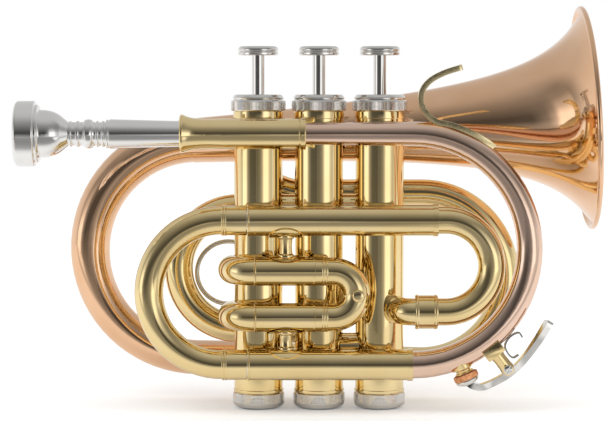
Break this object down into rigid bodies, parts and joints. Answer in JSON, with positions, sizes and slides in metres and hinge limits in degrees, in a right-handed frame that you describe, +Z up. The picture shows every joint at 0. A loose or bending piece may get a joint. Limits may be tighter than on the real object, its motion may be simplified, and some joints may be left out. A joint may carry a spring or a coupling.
{
  "type": "pocket trumpet",
  "caption": "Compact coiled brass trumpet with piston valves, sliding tuning crooks, a finger ring, a finger hook, a water key and a removable mouthpiece.",
  "frame": {"origin": "On the middle valve's axis, in the plane of the flat faces of the bottom caps that the instrument stands on.", "axes": "+Z is up along the valves, +X points towards the bell's mouth, +Y points away from the player's right side of the picture, to the bell's plane behind the valves."},
  "size_m": [0.2506, 0.1112, 0.1721],
  "materials": {
    "yellow_brass": "clear lacquered and polished yellow brass",
    "rose_brass": "clear lacquered and polished rose brass",
    "nickel": "polished nickel plate",
    "silver": "polished silver plate",
    "spring_steel": "bare drawn steel wire",
    "cork": "natural cork, matt",
    "felt": "natural white pressed felt, matt"
  },
  "bodies": {
    "instrument": {"bell": "rose_brass", "bell_tail": "yellow_brass", "third_slide_lower_tube": "yellow_brass", "leadpipe": "rose_brass", "feed_crook": "yellow_brass", "valve_casing_1": "yellow_brass", "valve_casing_3": "yellow_brass", "valve_casing_2": "yellow_brass", "bell_bow": "rose_brass", "first_slide_upper_tube": "yellow_brass", "first_slide_lower_tube": "yellow_brass", "feed_pipe": "yellow_brass", "mouthpiece_receiver": "yellow_brass", "third_slide_upper_tube": "yellow_brass", "valve_spring_1": "spring_steel", "valve_spring_2": "spring_steel", "valve_spring_3": "spring_steel", "upper_brace": "yellow_brass", "lower_brace": "yellow_brass", "top_cap_1": "nickel", "top_cap_2": "nickel", "top_cap_3": "nickel", "bottom_cap_1": "nickel", "bottom_cap_2": "nickel", "bottom_cap_3": "nickel", "knuckle_1_2": "yellow_brass", "knuckle_2_3": "yellow_brass", "water_key_nipple": "yellow_brass", "water_key_saddle": "yellow_brass", "second_slide_upper_tube": "yellow_brass", "second_slide_lower_tube": "yellow_brass", "finger_hook": "yellow_brass", "main_slide_upper_sleeve": "yellow_brass", "main_slide_lower_sleeve": "yellow_brass", "feed_ferrule": "yellow_brass", "bell_bow_ferrule": "yellow_brass", "water_key_spring": "spring_steel", "water_key_pin": "nickel", "bell_brace": "yellow_brass"},
    "mouthpiece_body": {"mouthpiece": "silver"},
    "main_slide": {"main_slide_bow": "yellow_brass"},
    "first_slide": {"first_slide_crook": "yellow_brass"},
    "second_slide": {"second_slide_crook": "yellow_brass"},
    "third_slide": {"third_slide_bow": "yellow_brass", "third_slide_ring": "nickel"},
    "water_key": {"water_key_lever": "nickel", "water_key_cork": "cork"},
    "valve_1": {"piston_1": "nickel", "valve_stem_1": "nickel", "felt_washer_1": "felt", "finger_button_1": "nickel"},
    "valve_2": {"piston_2": "nickel", "valve_stem_2": "nickel", "felt_washer_2": "felt", "finger_button_2": "nickel"},
    "valve_3": {"piston_3": "nickel", "valve_stem_3": "nickel", "felt_washer_3": "felt", "finger_button_3": "nickel"}
  },
  "joints": [
    {"name": "valve_1_press", "type": "slide", "parent": "instrument", "child": "valve_1", "axis": [0, 0, -1], "range_m": [0, 0.016], "stiffness_N_per_m": 60, "springref_m": -0.04, "deforming": ["valve_spring_1"]},
    {"name": "valve_2_press", "type": "slide", "parent": "instrument", "child": "valve_2", "axis": [0, 0, -1], "range_m": [0, 0.016], "stiffness_N_per_m": 60, "springref_m": -0.04, "deforming": ["valve_spring_2"]},
    {"name": "valve_3_press", "type": "slide", "parent": "instrument", "child": "valve_3", "axis": [0, 0, -1], "range_m": [0, 0.016], "stiffness_N_per_m": 60, "springref_m": -0.04, "deforming": ["valve_spring_3"]},
    {"name": "main_slide_pull", "type": "slide", "parent": "instrument", "child": "main_slide", "axis": [-1, 0, 0], "range_m": [0, 0.025]},
    {"name": "first_slide_pull", "type": "slide", "parent": "instrument", "child": "first_slide", "axis": [1, 0, 0], "range_m": [0, 0.006]},
    {"name": "second_slide_pull", "type": "slide", "parent": "instrument", "child": "second_slide", "axis": [0, 1, 0], "range_m": [0, 0.008]},
    {"name": "third_slide_pull", "type": "slide", "parent": "instrument", "child": "third_slide", "axis": [-1, 0, 0], "range_m": [0, 0.018]},
    {"name": "mouthpiece_pull", "type": "slide", "parent": "instrument", "child": "mouthpiece_body", "axis": [-1, 0, 0], "range_m": [0, 0.03]},
    {"name": "water_key_press", "type": "hinge", "parent": "instrument", "child": "water_key", "pos_m": [0.0794, -0.019, 0.0194], "axis": [0, -1, 0], "range_deg": [0, 10], "stiffness_Nm_per_rad": 0.02, "springref_deg": -28.65}
  ]
}
